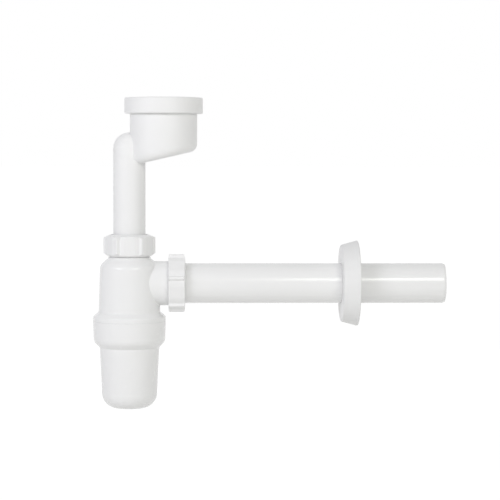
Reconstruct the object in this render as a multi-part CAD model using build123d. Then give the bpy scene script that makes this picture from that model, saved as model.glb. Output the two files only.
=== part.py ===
from build123d import *
import os
from math import cos, radians, sin, tan

# Urinal bottle trap in white plastic, in millimetres.
# The origin is the centre of the inlet mouth. +Z points up out of the mouth, and +X points
# along the outlet pipe to the wall. The bottle hangs beside the inlet, on its own vertical axis.

# Places of the three axes
bottle_offset = 34.0
outlet_drop = 184.7

# Round stock: the tail tube that dips into the bottle, and the outlet pipe
tube_radius = 16.0
tube_wall = 2.1
pipe_radius = 20.0
pipe_wall = 1.8
pipe_length = 283.5
pipe_end_length = 2.3
pipe_end_depth = 0.9

# Clearances
slide_gap = 0.4
seal_gap = 0.1
seat_gap = 0.2
washer_gap = 0.3
snap_gap = 0.25
thread_gap = 0.3
thread_depth = 0.7
seam_gap = 0.1
rosette_gap = 0.3

# Inlet: collar, lip seal and offset cup
spigot_radius = 25.0
lip_length = 10.0
lip_thickness = 2.0
lip_flange = 1.6
collar_radius = 39.0
collar_height = 16.0
collar_roof = 2.0
collar_rounding = 1.5
cup_radius = 33.4
cup_wall = 2.5
cup_floor_depth = 60.1
cup_floor_slope = 13.1
cup_floor_rounding = 8.5
dome_drop = 50.6
water_seal = 60.0
bead_rise = 1.0
bead_height = 3.0
bead_drop = 9.0

# Compression nuts and what they press on
nut_cap = 3.0
washer_thickness = 1.5
seal_flange = 3.0
seal_cone_angle = 26.0
seal_cone_length = 4.0
nut_face = 0.7
nut_corner = 0.6
rib_rise = 2.2
rib_foot = 5.4
rib_top = 2.2
rib_rounding = 0.3
inlet_nut_length = 21.5
inlet_nut_wall = 2.2
inlet_nut_opening = 2.3
inlet_nut_turn = 1.5
inlet_cap_slope = 2.8
inlet_rim_slope = 3.2
outlet_nut_length = 16.9
outlet_nut_wall = 3.6
outlet_nut_opening = 2.2
outlet_nut_turn = 16.3
outlet_cap_slope = 1.2
outlet_rim_slope = 0.8

# Trap body
body_wall = 2.6
water_gap = 10.6
body_flare = 1.6
neck_rise = 41.0
neck_thread_wall = 4.1
neck_thread_length = 14.9
neck_land = 0.8
neck_land_height = 1.0
shoulder_drop = 7.0
shoulder_rounding = 9.0
flange_drop = 37.5
flange_rise = 5.5
flange_edge = 4.5
flange_slope = 4.5
flange_fillet = 2.0
stub_length = 17.5
socket_end = 14.0
socket_thread_wall = 3.2
socket_thread_length = 8.5
socket_sleeve_wall = 1.8
pipe_stop = 5.0
pipe_rest_gap = 3.0

# Trap cup and its gasket
collar_wall = 2.9
gasket_thickness = 2.0
gasket_overlap = 0.6
cup_collar_height = 20.5
cup_collar_draft = 0.7
cup_shoulder_drop = 5.9
cup_shoulder_rounding = 8.0
vessel_neck_fillet = 0.8
vessel_wall = 2.5
vessel_radius = 29.8
vessel_draft = 3.0
vessel_depth = 87.2
vessel_rounding = 14.8

# Wall rosette
rosette_place = 177.6
rosette_depth = 16.6
rosette_front_radius = 38.4
rosette_rim_radius = 43.0
rosette_wall = 2.2
rosette_hub_length = 5.0
rosette_rounding = 1.0

# Levels and radii that follow from the sizes above
neck_top = neck_rise - outlet_drop
flange_seam = -outlet_drop - flange_drop
stub_end = flange_seam - stub_length
vessel_floor = flange_seam - vessel_depth
neck_bore = tube_radius + slide_gap
neck_crest = neck_bore + neck_thread_wall
socket_bore = pipe_radius + slide_gap
socket_crest = socket_bore + socket_thread_wall
body_inside = tube_radius + water_gap
body_outside = body_inside + body_wall
flange_radius = body_outside + body_flare + flange_rise
cup_bore = flange_radius - collar_wall
stub_core = cup_bore - thread_gap - thread_depth
pipe_bore = pipe_radius - pipe_wall
dip_end = -outlet_drop - pipe_bore - water_seal
pipe_start = pipe_rest_gap - pipe_stop
cup_rim = -collar_roof - lip_flange

# Frames of the bottle axis and of the outlet axis, where local Z runs along the axis
bottle_axis = Pos(-bottle_offset, 0, 0)
outlet_axis = Pos(0, 0, -outlet_drop) * Rot(0, 90, 0)


def turned(*corners):
    """Solid turned about local Z. A corner is (radius, height) or (radius, height, rounding)."""
    points = [corner[:2] for corner in corners]
    roundings = [corner[2] if len(corner) > 2 else 0 for corner in corners]
    outline = FilletPolyline(*points, radius=roundings, close=True)
    return revolve(Plane.XZ * make_face(outline), Axis.Z)


def ring(inner, outer, low, high):
    """Plain flat ring."""
    return turned((inner, low), (outer, low), (outer, high), (inner, high))


def compression_nut(bore, wall, opening, length, rim_slope, cap_slope, turn):
    """Rounded hexagon nut from its open rim at height 0 to its cap, with a rib down each corner."""
    facet = bore + wall
    corner = facet + nut_corner + rib_rise
    section = RegularPolygon(facet, 6, major_radius=False, rotation=turn) & Circle(facet + nut_corner)
    root = facet - corner
    rib = Polygon(
        (root, -rib_foot / 2), (0, -rib_top / 2), (0, rib_top / 2), (root, rib_foot / 2), align=None
    )
    for place in PolarLocations(corner, 6, start_angle=turn):
        section += place * rib
    tops = [v for v in section.vertices() if Vector(v).length > corner - rib_rounding]
    section = fillet(tops, rib_rounding)
    rim = bore + nut_face
    cap = opening + nut_face
    beyond = corner + rib_rise
    blank = turned(
        (0, 0),
        (rim, 0),
        (beyond, rim_slope * (beyond - rim) / (corner - rim)),
        (beyond, length - cap_slope * (beyond - cap) / (corner - cap)),
        (cap, length),
        (0, length),
    )
    hollow = turned(
        (0, 0),
        (bore, 0),
        (bore, length - nut_cap),
        (opening, length - nut_cap),
        (opening, length),
        (0, length),
    )
    return (extrude(section, length) & blank) - hollow


def cone_seal(inner, outer, bore):
    """Rubber seal from its flange's back at height 0 down to the nose of its cone."""
    nose = -seal_flange - seal_cone_length
    seat = bore - seat_gap
    return turned(
        (inner, 0),
        (outer, 0),
        (outer, -seal_flange),
        (seat + seal_cone_length * tan(radians(seal_cone_angle)), -seal_flange),
        (seat, nose),
        (inner, nose),
    )


def cup_form(radius, lift, rounding):
    """Upright cylinder with a sloping floor. The floor lies lift above the cup's outer floor."""
    slope = radians(cup_floor_slope)
    upward = Vector(-sin(slope), 0, cos(slope))
    floor = Plane(origin=Vector(0, 0, -cup_floor_depth) + upward * lift, z_dir=upward)
    column = Pos(0, 0, cup_rim) * Cylinder(
        radius, 2 * cup_floor_depth, align=(Align.CENTER, Align.CENTER, Align.MAX)
    )
    form = split(column, bisect_by=floor, keep=Keep.TOP)
    return fillet(form.faces().sort_by(Axis.Z)[0].edges(), rounding)


def domed_tube(radius, low):
    """Tube along the bottle axis, closed by a half ball at its top."""
    shaft = turned((0, low), (radius, low), (radius, -dome_drop), (0, -dome_drop))
    return bottle_axis * (shaft + Pos(0, 0, -dome_drop) * Sphere(radius))


# Inlet collar: a snap ring over the cup's rim that holds the lip seal down
bead_low = -bead_drop - bead_height
collar_inside = cup_radius + snap_gap
groove_inside = collar_inside + bead_rise
inlet_collar = turned(
    (spigot_radius + lip_thickness + washer_gap, 0),
    (collar_radius, 0, collar_rounding),
    (collar_radius, -collar_height, collar_rounding),
    (collar_inside, -collar_height),
    (collar_inside, bead_low - snap_gap),
    (groove_inside, bead_low - snap_gap),
    (groove_inside, -bead_drop + snap_gap),
    (collar_inside, -bead_drop + snap_gap),
    (collar_inside, -collar_roof),
    (spigot_radius + lip_thickness + washer_gap, -collar_roof),
)

# Inlet lip seal: a rubber sleeve round the spigot, with a flange between collar and cup rim
lip_outside = spigot_radius + lip_thickness
inlet_lip_seal = turned(
    (spigot_radius, 0),
    (lip_outside, 0),
    (lip_outside, -collar_roof),
    (cup_radius, -collar_roof),
    (cup_radius, cup_rim),
    (lip_outside, cup_rim),
    (lip_outside, -lip_length),
    (spigot_radius, -lip_length),
)

# Offset cup: the sloping cup and the tail tube are one moulding, with the tube open to the cup
cup_outside = cup_form(cup_radius, 0, cup_floor_rounding)
cup_outside += turned(
    (cup_radius - cup_wall / 2, bead_low),
    (cup_radius, bead_low),
    (cup_radius + bead_rise, -bead_drop - bead_height / 2),
    (cup_radius, -bead_drop),
    (cup_radius - cup_wall / 2, -bead_drop),
)
cup_outside += domed_tube(tube_radius, dip_end)
cup_inside = cup_form(cup_radius - cup_wall, cup_wall, cup_floor_rounding - cup_wall)
cup_inside += domed_tube(tube_radius - tube_wall, dip_end)
inlet_offset_cup = cup_outside - cup_inside

# Inlet nut with its washer and seal, on the neck of the body. The washer and the seal pass the
# crests of the nut's own thread.
inlet_bore = neck_crest + thread_gap
inlet_pass = inlet_bore - thread_depth - washer_gap
inlet_seal_back = neck_top + seat_gap + seal_flange
inlet_cap_inside = inlet_seal_back + washer_thickness
inlet_nut = bottle_axis * Pos(0, 0, inlet_cap_inside + nut_cap - inlet_nut_length) * compression_nut(
    inlet_bore,
    inlet_nut_wall,
    tube_radius + inlet_nut_opening,
    inlet_nut_length,
    inlet_rim_slope,
    inlet_cap_slope,
    inlet_nut_turn,
)
inlet_slip_washer = bottle_axis * ring(
    tube_radius + washer_gap, inlet_pass, inlet_seal_back, inlet_cap_inside
)
inlet_cone_seal = bottle_axis * Pos(0, 0, inlet_seal_back) * cone_seal(
    tube_radius + seal_gap, inlet_pass, neck_bore
)

# Trap body: neck, shoulder, wall and flange turned about the bottle axis, with the outlet
# socket let into the side, and the stub for the cup's thread below the flange
neck_land_low = neck_top - neck_thread_length - neck_land_height
shoulder = neck_land_low - shoulder_drop
flange_top = flange_seam + flange_edge
wall_low = flange_top + flange_slope
body_low = body_outside + body_flare
neck_core = neck_crest - thread_depth
body_outer = turned(
    (0, neck_top),
    (neck_core, neck_top),
    (neck_core, neck_top - neck_thread_length),
    (neck_crest + neck_land, neck_top - neck_thread_length),
    (neck_crest + neck_land, neck_land_low),
    (body_outside, shoulder, shoulder_rounding),
    (body_low, wall_low, flange_fillet),
    (flange_radius, flange_top, collar_rounding),
    (flange_radius, flange_seam),
    (stub_core, flange_seam),
    (stub_core, stub_end),
    (0, stub_end),
)
socket_core = socket_crest - thread_depth
socket_shoulder = socket_end - socket_thread_length
socket_outer = turned(
    (0, -bottle_offset),
    (socket_bore + socket_sleeve_wall, -bottle_offset),
    (socket_bore + socket_sleeve_wall, socket_shoulder),
    (socket_core, socket_shoulder),
    (socket_core, socket_end),
    (0, socket_end),
)
mouth_flare = seal_cone_length * tan(radians(seal_cone_angle))
body_cavity = turned(
    (0, neck_top),
    (neck_bore + mouth_flare, neck_top),
    (neck_bore, neck_top - seal_cone_length),
    (neck_bore, neck_land_low - body_wall),
    (body_inside, shoulder - body_wall, shoulder_rounding - body_wall),
    (body_low - body_wall, wall_low),
    (body_low - body_wall, stub_end),
    (0, stub_end),
)
socket_cavity = turned(
    (0, -bottle_offset),
    (pipe_bore, -bottle_offset),
    (pipe_bore, -pipe_stop),
    (socket_bore, -pipe_stop),
    (socket_bore, socket_end - seal_cone_length),
    (socket_bore + mouth_flare, socket_end),
    (0, socket_end),
)
trap_body = bottle_axis * body_outer + outlet_axis * socket_outer
trap_body = trap_body - bottle_axis * body_cavity - outlet_axis * socket_cavity

# Trap cup: a collar that screws over the stub, narrowing to the vessel that holds the water
gasket_low = stub_end - gasket_thickness
cup_top = flange_seam - seam_gap
collar_foot = flange_seam - cup_collar_height
vessel_low_radius = vessel_radius - vessel_draft
trap_cup = bottle_axis * turned(
    (cup_bore, cup_top),
    (flange_radius, cup_top),
    (flange_radius - cup_collar_draft, collar_foot, cup_shoulder_rounding),
    (vessel_radius, collar_foot - cup_shoulder_drop, vessel_neck_fillet),
    (vessel_low_radius, vessel_floor, vessel_rounding),
    (0, vessel_floor),
    (0, vessel_floor + vessel_wall),
    (vessel_low_radius - vessel_wall, vessel_floor + vessel_wall, vessel_rounding - vessel_wall),
    (vessel_radius - vessel_wall, gasket_low),
    (cup_bore, gasket_low),
)

# Cup gasket: a flat rubber ring on the cup's ledge, pressed by the end of the stub
cup_gasket = bottle_axis * ring(
    body_low - body_wall - gasket_overlap, cup_bore - thread_depth - washer_gap, gasket_low, stub_end
)

# Outlet nut with its washer and seal, on the socket of the body
outlet_bore = socket_crest + thread_gap
outlet_pass = outlet_bore - thread_depth - washer_gap
outlet_seal_back = socket_end + seat_gap + seal_flange
outlet_cap_inside = outlet_seal_back + washer_thickness
outlet_nut = outlet_axis * Pos(0, 0, outlet_cap_inside + nut_cap - outlet_nut_length) * compression_nut(
    outlet_bore,
    outlet_nut_wall,
    pipe_radius + outlet_nut_opening,
    outlet_nut_length,
    outlet_rim_slope,
    outlet_cap_slope,
    outlet_nut_turn,
)
outlet_slip_washer = outlet_axis * ring(
    pipe_radius + washer_gap, outlet_pass, outlet_seal_back, outlet_cap_inside
)
outlet_cone_seal = outlet_axis * Pos(0, 0, outlet_seal_back) * cone_seal(
    pipe_radius + seal_gap, outlet_pass, socket_bore
)

# Outlet pipe: plain drawn pipe with both ends tapered for pushing into a seal
pipe_finish = pipe_start + pipe_length
outlet_pipe = outlet_axis * turned(
    (pipe_bore, pipe_start),
    (pipe_radius - pipe_end_depth, pipe_start),
    (pipe_radius, pipe_start + pipe_end_length),
    (pipe_radius, pipe_finish - pipe_end_length),
    (pipe_radius - pipe_end_depth, pipe_finish),
    (pipe_bore, pipe_finish),
)

# Wall rosette: a hollow cone that slides along the pipe and covers the hole in the wall
rosette_bore = pipe_radius + rosette_gap
wall_rosette = outlet_axis * Pos(0, 0, rosette_place) * turned(
    (rosette_bore, 0),
    (rosette_front_radius, 0, rosette_rounding),
    (rosette_rim_radius, rosette_depth, rosette_rounding),
    (rosette_rim_radius - rosette_wall, rosette_depth),
    (rosette_front_radius - rosette_wall, rosette_wall),
    (rosette_bore + rosette_wall, rosette_wall),
    (rosette_bore + rosette_wall, rosette_hub_length),
    (rosette_bore, rosette_hub_length),
)

pieces = {
    "inlet_collar": inlet_collar,
    "inlet_lip_seal": inlet_lip_seal,
    "inlet_offset_cup": inlet_offset_cup,
    "inlet_nut": inlet_nut,
    "inlet_slip_washer": inlet_slip_washer,
    "inlet_cone_seal": inlet_cone_seal,
    "trap_body": trap_body,
    "trap_cup": trap_cup,
    "cup_gasket": cup_gasket,
    "outlet_nut": outlet_nut,
    "outlet_slip_washer": outlet_slip_washer,
    "outlet_cone_seal": outlet_cone_seal,
    "outlet_pipe": outlet_pipe,
    "wall_rosette": wall_rosette,
}
os.makedirs("parts", exist_ok=True)
for name, piece in pieces.items():
    export_step(piece, f"parts/{name}.step")
    print(name, piece.is_valid, round(piece.volume), len(piece.solids()))
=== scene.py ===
import math

import bmesh
import bpy
from mathutils import Matrix, Vector


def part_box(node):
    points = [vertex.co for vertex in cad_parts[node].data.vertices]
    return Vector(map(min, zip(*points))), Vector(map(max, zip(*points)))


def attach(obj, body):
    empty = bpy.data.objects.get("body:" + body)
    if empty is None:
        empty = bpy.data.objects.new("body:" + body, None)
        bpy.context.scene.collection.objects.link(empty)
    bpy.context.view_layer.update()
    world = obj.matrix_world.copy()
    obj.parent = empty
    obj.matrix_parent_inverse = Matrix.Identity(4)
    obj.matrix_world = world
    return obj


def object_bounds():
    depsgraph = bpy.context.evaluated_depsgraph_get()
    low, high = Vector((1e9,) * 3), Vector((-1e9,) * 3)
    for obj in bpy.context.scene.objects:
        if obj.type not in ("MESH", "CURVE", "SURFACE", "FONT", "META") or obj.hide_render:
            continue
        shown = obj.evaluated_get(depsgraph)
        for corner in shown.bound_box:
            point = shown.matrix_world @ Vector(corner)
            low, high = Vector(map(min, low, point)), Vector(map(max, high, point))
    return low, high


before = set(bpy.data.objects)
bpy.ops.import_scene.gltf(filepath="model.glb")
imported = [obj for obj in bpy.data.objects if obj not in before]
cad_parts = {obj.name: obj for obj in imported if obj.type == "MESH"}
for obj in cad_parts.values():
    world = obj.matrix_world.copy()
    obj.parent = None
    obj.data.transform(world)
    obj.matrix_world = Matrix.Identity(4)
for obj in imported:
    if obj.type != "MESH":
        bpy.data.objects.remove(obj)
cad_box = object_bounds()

# Camera.
# It stands square to the plane of the pipe, a little to the left and a little above, and far
# enough away that the pipe and the bottle keep their true proportions.
view_azimuth = -2.35
view_elevation = 3.15
view_roll = 0.15
view_distance = 1.8
view_aim = Vector((0.0863, 0.0, -0.1515))
view_width = 0.5
sensor_width = 36.0


def outward(azimuth, elevation):
    """Unit vector away from the trap, at an azimuth from the front and an elevation in degrees."""
    across = math.radians(azimuth)
    up = math.radians(elevation)
    level = math.cos(up)
    return Vector((math.sin(across) * level, -math.cos(across) * level, math.sin(up)))


def turned_back(away):
    """The turn that points a camera or a lamp back along the way that it stands off."""
    return (-away).to_track_quat("-Z", "Y").to_matrix().to_4x4()


scene = bpy.context.scene
scene.view_settings.view_transform = "Standard"
camera = bpy.data.objects.new("camera", bpy.data.cameras.new("camera"))
scene.collection.objects.link(camera)
scene.camera = camera
to_camera = outward(view_azimuth, view_elevation)
stand = Matrix.Translation(view_aim + to_camera * view_distance)
roll = Matrix.Rotation(math.radians(view_roll), 4, "Z")
camera.matrix_world = stand @ turned_back(to_camera) @ roll
camera.data.sensor_width = sensor_width
camera.data.lens = sensor_width * view_distance / view_width


# Floor.
# A wide pale studio floor under the hanging trap. What looks at it straight sees white paper, and
# the share of it that is plain matt takes the trap's soft shadow. It can't be seen from below.
floor_drop = 0.12
floor_radius = 40.0
floor_sides = 96
floor_colour = (0.93, 0.93, 0.91, 1.0)
paper_share = 0.9
paper_white = 1.08


class Wire:
    """A socket of a node tree, so that shader maths reads as maths."""

    def __init__(self, tree, socket=None):
        self.tree = tree
        self.socket = socket

    def node(self, kind, settings=None, sockets=None, out=0):
        """Adds a node, sets it up, fills or links its sockets, and gives one of its outputs."""
        made = self.tree.nodes.new("ShaderNode" + kind)
        for name, value in (settings or {}).items():
            setattr(made, name, value)
        for name, value in (sockets or {}).items():
            if isinstance(value, Wire):
                self.tree.links.new(value.socket, made.inputs[name])
            else:
                made.inputs[name].default_value = value
        return Wire(self.tree, made.outputs[out] if made.outputs else None)

    def maths(self, operation, first, second=0.0):
        """One step of maths on wires or numbers."""
        return self.node("Math", {"operation": operation}, {0: first, 1: second})

    def __add__(self, other):
        return self.maths("ADD", self, other)

    def __radd__(self, other):
        return self.maths("ADD", other, self)

    def __sub__(self, other):
        return self.maths("SUBTRACT", self, other)

    def __rsub__(self, other):
        return self.maths("SUBTRACT", other, self)

    def __mul__(self, other):
        return self.maths("MULTIPLY", self, other)

    def __rmul__(self, other):
        return self.maths("MULTIPLY", other, self)


def bare_tree(owner):
    """The node tree of a material or a world, emptied."""
    owner.use_nodes = True
    owner.node_tree.nodes.clear()
    return Wire(owner.node_tree)


def seen_straight(tree):
    """1 on rays from the camera, off a gloss or through glass, and 0 on soft light."""
    straight = tree.node("LightPath", out="Is Camera Ray")
    for kind in ("Is Glossy Ray", "Is Transmission Ray"):
        straight = straight.maths("MAXIMUM", straight, tree.node("LightPath", out=kind))
    return straight


floor_mesh = bpy.data.meshes.new("floor")
floor_form = bmesh.new()
bmesh.ops.create_circle(floor_form, cap_ends=True, segments=floor_sides, radius=floor_radius)
floor_form.to_mesh(floor_mesh)
floor_form.free()
floor = bpy.data.objects.new("floor", floor_mesh)
scene.collection.objects.link(floor)
floor.location.z = cad_box[0].z - floor_drop

floor_paper = bpy.data.materials.new("floor_paper")
tree = bare_tree(floor_paper)
matt = tree.node("BsdfDiffuse", None, {"Color": floor_colour})
white = tree.node("Emission", None, {"Strength": paper_white})
paper = tree.node("MixShader", None, {0: seen_straight(tree) * paper_share, 1: matt, 2: white})
below = tree.node("NewGeometry", out="Backfacing")
one_sided = tree.node("MixShader", None, {0: below, 1: paper, 2: tree.node("BsdfTransparent")})
tree.node("OutputMaterial", None, {"Surface": one_sided})
floor_mesh.materials.append(floor_paper)


# Studio light.
# An even white room, with two soft boxes in front and above: a cool one on the left and a faintly
# warm one on the right. A panel behind lifts the back alone, and adds no rim of gloss to the front.
room_strength = 0.468
seen_strength = 1.0
lamp_distance = 1.6
box_size = (0.68, 0.31)
panel_size = (1.2, 0.9)
white_light = (1.0, 1.0, 1.0)
cool_light = (0.93, 0.93, 1.0)
warm_light = (1.0, 1.0, 0.95)

room = bpy.data.worlds.new("white_room")
scene.world = room
tree = bare_tree(room)
soft = tree.node("Background", None, {"Color": (*white_light, 1.0), "Strength": room_strength})
bright = tree.node("Background", None, {"Color": (*white_light, 1.0), "Strength": seen_strength})
both = tree.node("MixShader", None, {0: seen_straight(tree), 1: soft, 2: bright})
tree.node("OutputWorld", None, {"Surface": both})


def soft_box(name, azimuth, elevation, size, share, colour):
    """A soft box turned to the middle of the trap.

    Share is the light that it gives to a surface facing it, where 1 shows a colour as it is written.
    """
    lamp = bpy.data.lights.new(name, "AREA")
    lamp.shape = "RECTANGLE"
    lamp.size, lamp.size_y = size
    lamp.energy = share * (math.pi * lamp_distance) ** 2
    lamp.color = colour
    light = bpy.data.objects.new(name, lamp)
    scene.collection.objects.link(light)
    away = outward(azimuth, elevation)
    middle = (cad_box[0] + cad_box[1]) / 2
    light.matrix_world = Matrix.Translation(middle + away * lamp_distance) @ turned_back(away)
    light.visible_camera = False
    return light


left_azimuth = view_azimuth - 44.0
right_azimuth = view_azimuth + 20.5
back_azimuth = view_azimuth + 180.0
soft_box("left_soft_box", left_azimuth, elevation=21.5, size=box_size, share=0.265, colour=cool_light)
soft_box("right_soft_box", right_azimuth, elevation=24.0, size=box_size, share=0.23, colour=warm_light)
back_panel = soft_box(
    "back_panel", back_azimuth, elevation=2.0, size=panel_size, share=0.26, colour=white_light
)
back_panel.visible_glossy = False


# Trap body.
# One injection moulding in white polypropylene, with a fine line where the mould's halves met. Its
# three screw threads are moulded on, as low blunt ridges that run out at both ends.
mm = 0.001
white_colour = (0.905, 0.905, 0.905)
white_shade = (0.888, 0.888, 0.886)
cloud_scale = 45.0
patch_scale = 160.0
speckle_scale = 2600.0
gloss_least = 0.6
gloss_patches = 0.5
gloss_speckle = 0.3
grain_scale = 1500.0
grain_height = 6.0e-6
grain_strength = 0.6
split_height = 4.0e-5
split_half_width = 0.25 * mm
draw_height = 1.2e-5
draw_stretch = (6.0, 700.0, 700.0)


def fine_noise(tree, scale, detail=2.0, stretch=(1.0, 1.0, 1.0)):
    """Noise from 0 to 1 that rides on the piece. Scale is in cells per metre."""
    place = tree.node("TexCoord", out="Object")
    stretched = tree.node("Mapping", None, {"Vector": place, "Scale": stretch})
    return tree.node("TexNoise", None, {"Vector": stretched, "Scale": scale, "Detail": detail})


def blend(tree, share, first, second):
    """The colour that lies a share of the way from the first to the second."""
    factor, colour_a, colour_b, result = 0, 6, 7, 2
    sockets = {factor: share, colour_a: first, colour_b: second}
    return tree.node("Mix", {"data_type": "RGBA"}, sockets, result)


def white_plastic(name, roughness, sheen=0.28, whiteness=1.0, split=False, drawn=False):
    """White polypropylene: a faint cloudiness, an uneven satin gloss and the mould's fine grain.

    Sheen is how strongly it mirrors, and whiteness scales its colour. Split adds the mould's line in
    the plane of the two axes, and drawn adds the marks that a die leaves along X.
    """
    material = bpy.data.materials.new(name)
    tree = bare_tree(material)
    dark = [whiteness * part for part in white_shade] + [1.0]
    pale = [whiteness * part for part in white_colour] + [1.0]
    colour = blend(tree, fine_noise(tree, cloud_scale, detail=3.0), dark, pale)
    patches = fine_noise(tree, patch_scale, detail=3.0)
    speckle = fine_noise(tree, speckle_scale)
    gloss = roughness * (gloss_least + patches * gloss_patches + speckle * gloss_speckle)
    height = fine_noise(tree, grain_scale, detail=3.0) * grain_height
    if drawn:
        height = height + fine_noise(tree, scale=1.0, stretch=draw_stretch) * draw_height
    if split:
        place = tree.node("TexCoord", out="Object")
        aside = tree.maths("ABSOLUTE", tree.node("SeparateXYZ", None, {"Vector": place}, "Y"))
        line = tree.maths("MAXIMUM", 1 - aside * (1 / split_half_width))
        height = height + line * split_height
    bump = tree.node("Bump", None, {"Strength": grain_strength, "Distance": 1.0, "Height": height})
    plastic = tree.node(
        "BsdfPrincipled",
        None,
        {"Base Color": colour, "Roughness": gloss, "Normal": bump, "Specular IOR Level": sheen},
    )
    tree.node("OutputMaterial", None, {"Surface": plastic})
    return material


def finish_node(node, material):
    """Gives a carried-over solid its finish."""
    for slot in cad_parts[node].material_slots:
        slot.material = material


body_white = white_plastic("body_white", roughness=0.12, sheen=0.36, split=True)
finish_node("trap_body", body_white)

cup_low, cup_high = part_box("trap_cup")
pipe_low, pipe_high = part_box("outlet_pipe")
body_low, body_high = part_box("trap_body")
bottle_axis = Matrix.Translation(((cup_low.x + cup_high.x) / 2, 0, 0))
pipe_level = Matrix.Translation((0, 0, (pipe_low.z + pipe_high.z) / 2))
pipe_axis = pipe_level @ Matrix.Rotation(math.radians(90), 4, "Y")
stub_end = body_low.z
neck_top = body_high.z
socket_end = body_high.x
thread_depth = 0.7 * mm
thread_sink = 0.06 * mm
fine_pitch = 2.309 * mm
coarse_pitch = 4.0 * mm
neck_root = 19.8 * mm
socket_root = 22.9 * mm
stub_root = 32.4 * mm
neck_reach = (neck_top - 13.0 * mm, neck_top - 1.2 * mm)
socket_reach = (socket_end - 7.8 * mm, socket_end - 0.9 * mm)
stub_reach = (stub_end + 1.6 * mm, stub_end + 15.5 * mm)


def screw_thread(name, axis, root, depth, reach, pitch, shift, body, material):
    """A ridge wound right-handed about an axis, from root out by depth, or in where depth is negative.

    It runs from the low end of reach to the high end, shifted by a share of a turn, and runs out
    over a quarter of a turn at each end. Its foot is sunk a little in the wall that carries it.
    """
    steps_per_turn = 64
    run_outs_per_turn = 4
    foot_half = 0.24 * pitch
    crest_half = 0.10 * pitch
    foot = root + (thread_sink if depth < 0 else -thread_sink)
    low, high = reach
    steps = int((high - low) / pitch * steps_per_turn)
    form = bmesh.new()
    rows = []
    for step in range(steps + 1):
        turns = step / steps_per_turn
        turns_left = (steps - step) / steps_per_turn
        run_out = min(1.0, run_outs_per_turn * turns, run_outs_per_turn * turns_left)
        crest = foot + (root + depth - foot) * math.sin(run_out * math.pi / 2)
        angle = 2 * math.pi * (turns - shift)
        level = low + turns * pitch
        profile = [
            (foot, level - foot_half),
            (crest, level - crest_half),
            (crest, level + crest_half),
            (foot, level + foot_half),
        ]
        rows.append([
            form.verts.new(axis @ Vector((r * math.cos(angle), r * math.sin(angle), z)))
            for r, z in profile
        ])
    corners = len(rows[0])
    for before, after in zip(rows, rows[1:]):
        for i in range(corners):
            j = (i + 1) % corners
            form.faces.new((before[i], after[i], after[j], before[j]))
    form.faces.new(rows[0])
    form.faces.new(reversed(rows[-1]))
    bmesh.ops.recalc_face_normals(form, faces=form.faces)
    mesh = bpy.data.meshes.new(name)
    form.to_mesh(mesh)
    form.free()
    mesh.materials.append(material)
    ridge = bpy.data.objects.new(name, mesh)
    scene.collection.objects.link(ridge)
    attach(ridge, body)


for name, axis, root, reach, pitch in (
    ("neck_thread", bottle_axis, neck_root, neck_reach, fine_pitch),
    ("socket_thread", pipe_axis, socket_root, socket_reach, fine_pitch),
    ("stub_thread", bottle_axis, stub_root, stub_reach, coarse_pitch),
):
    screw_thread(name, axis, root, thread_depth, reach, pitch, 0.0, "trap_body", body_white)


# Gasket and cone seals.
# Pressed rings of soft black rubber: a flat one between the trap cup's ledge and the end of the
# body's stub, and two cones that the nuts wedge between a tube and the mouth that it enters.
rubber_colour = (0.035, 0.035, 0.036, 1.0)
rubber_bloom = (0.07, 0.07, 0.07, 1.0)
bloom_scale = 220.0
pressed_scale = 1800.0
pressed_height = 3.0e-5
pressed_strength = 0.7
clean_roughness = 0.5
bloom_roughness = 0.3
rubber_ior = 1.5


def black_rubber(name):
    """Matt black rubber with a faint grey bloom and a fine pressed grain."""
    material = bpy.data.materials.new(name)
    tree = bare_tree(material)
    bloom = fine_noise(tree, bloom_scale, detail=4.0)
    colour = blend(tree, bloom * bloom, rubber_colour, rubber_bloom)
    gloss = clean_roughness + bloom * bloom_roughness
    height = fine_noise(tree, pressed_scale, detail=3.0) * pressed_height
    bump = tree.node("Bump", None, {"Strength": pressed_strength, "Distance": 1.0, "Height": height})
    rubber = tree.node(
        "BsdfPrincipled",
        None,
        {"Base Color": colour, "Roughness": gloss, "Normal": bump, "IOR": rubber_ior},
    )
    tree.node("OutputMaterial", None, {"Surface": rubber})
    return material


seal_rubber = black_rubber("seal_rubber")
for seal in ("cup_gasket", "inlet_cone_seal", "outlet_cone_seal"):
    finish_node(seal, seal_rubber)


# Trap cup.
# The tapered vessel is moulded in the same white plastic, with a coarse thread inside its collar.
# It hangs on the body's stub by that thread, and is screwed off by hand to be cleaned.
cup_white = white_plastic("cup_white", roughness=0.25)
cup_bore = 33.4 * mm
cup_reach = (stub_end + 1.2 * mm, cup_high.z - 2.2 * mm)


def mating_shift(outer_reach, inner_reach, pitch):
    """The share of a turn that lays an inner ridge midway between the turns of the outer one."""
    return 0.5 - (inner_reach[0] - outer_reach[0]) / pitch


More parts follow.
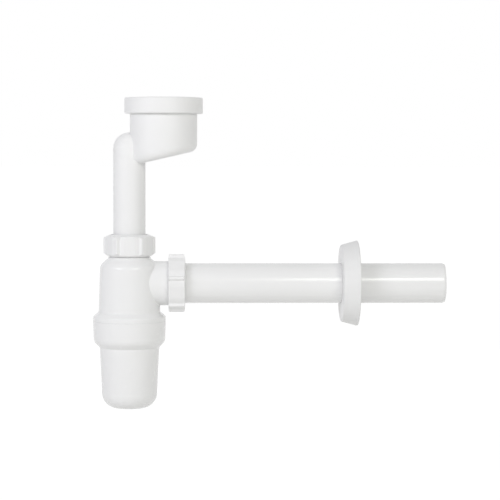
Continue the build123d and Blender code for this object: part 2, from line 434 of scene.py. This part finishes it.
finish_node("trap_cup", cup_white)
cup_shift = mating_shift(stub_reach, cup_reach, coarse_pitch)
screw_thread(
    "cup_thread", bottle_axis, cup_bore, -thread_depth, cup_reach, coarse_pitch, cup_shift,
    "trap_cup", cup_white,
)


# Slip washers.
# Thin hard rings, stamped from plain plastic sheet, that lie between each nut's cap and its cone
# seal, so that the nut turns without twisting the rubber.
washer_white = white_plastic("washer_white", roughness=0.5)
for washer in ("inlet_slip_washer", "outlet_slip_washer"):
    finish_node(washer, washer_white)


# Union nuts.
# Two hexagon nuts with a rib on each corner for the hand, moulded in white plastic with the thread
# inside. Each slips over its tube and draws the tube's seal down on the mouth that it screws to.
nut_white = white_plastic("nut_white", roughness=0.32)
inlet_nut_bore = 20.8 * mm
outlet_nut_bore = 23.9 * mm
inlet_nut_reach = (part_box("inlet_nut")[0].z + 1.2 * mm, neck_top - 1.0 * mm)
outlet_nut_reach = (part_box("outlet_nut")[0].x + 1.2 * mm, socket_end - 0.5 * mm)
for nut, axis, bore, mouth_reach, reach in (
    ("inlet_nut", bottle_axis, inlet_nut_bore, neck_reach, inlet_nut_reach),
    ("outlet_nut", pipe_axis, outlet_nut_bore, socket_reach, outlet_nut_reach),
):
    finish_node(nut, nut_white)
    shift = mating_shift(mouth_reach, reach, fine_pitch)
    screw_thread(nut + "_thread", axis, bore, -thread_depth, reach, fine_pitch, shift, nut, nut_white)


# Inlet cup, lip seal and collar.
# The cup and its tail tube are one satin moulding, split along the plane of their two axes. A rubber
# lip seal sits in the cup's mouth, and a smooth collar snaps over the rim and holds it there.
finish_node("inlet_offset_cup", white_plastic("inlet_white", roughness=0.4, split=True))
finish_node("inlet_lip_seal", seal_rubber)
finish_node("inlet_collar", white_plastic("collar_white", roughness=0.36))


# Outlet pipe.
# A length of extruded white pipe, tapered at both ends, that slides in the socket's seal. The die
# leaves it glossier than most of the mouldings, with faint lines drawn along it.
finish_node("outlet_pipe", white_plastic("pipe_white", roughness=0.19, sheen=0.5, drawn=True))


# Wall rosette.
# A thin moulded cone with a matt finish, open at the back, that slides along the pipe to hide the
# hole where the pipe goes into the wall. Its colour is scaled a little below the other whites: painted
# shade for the weaker light that reaches it.
finish_node("wall_rosette", white_plastic("rosette_white", roughness=0.45, whiteness=0.955))
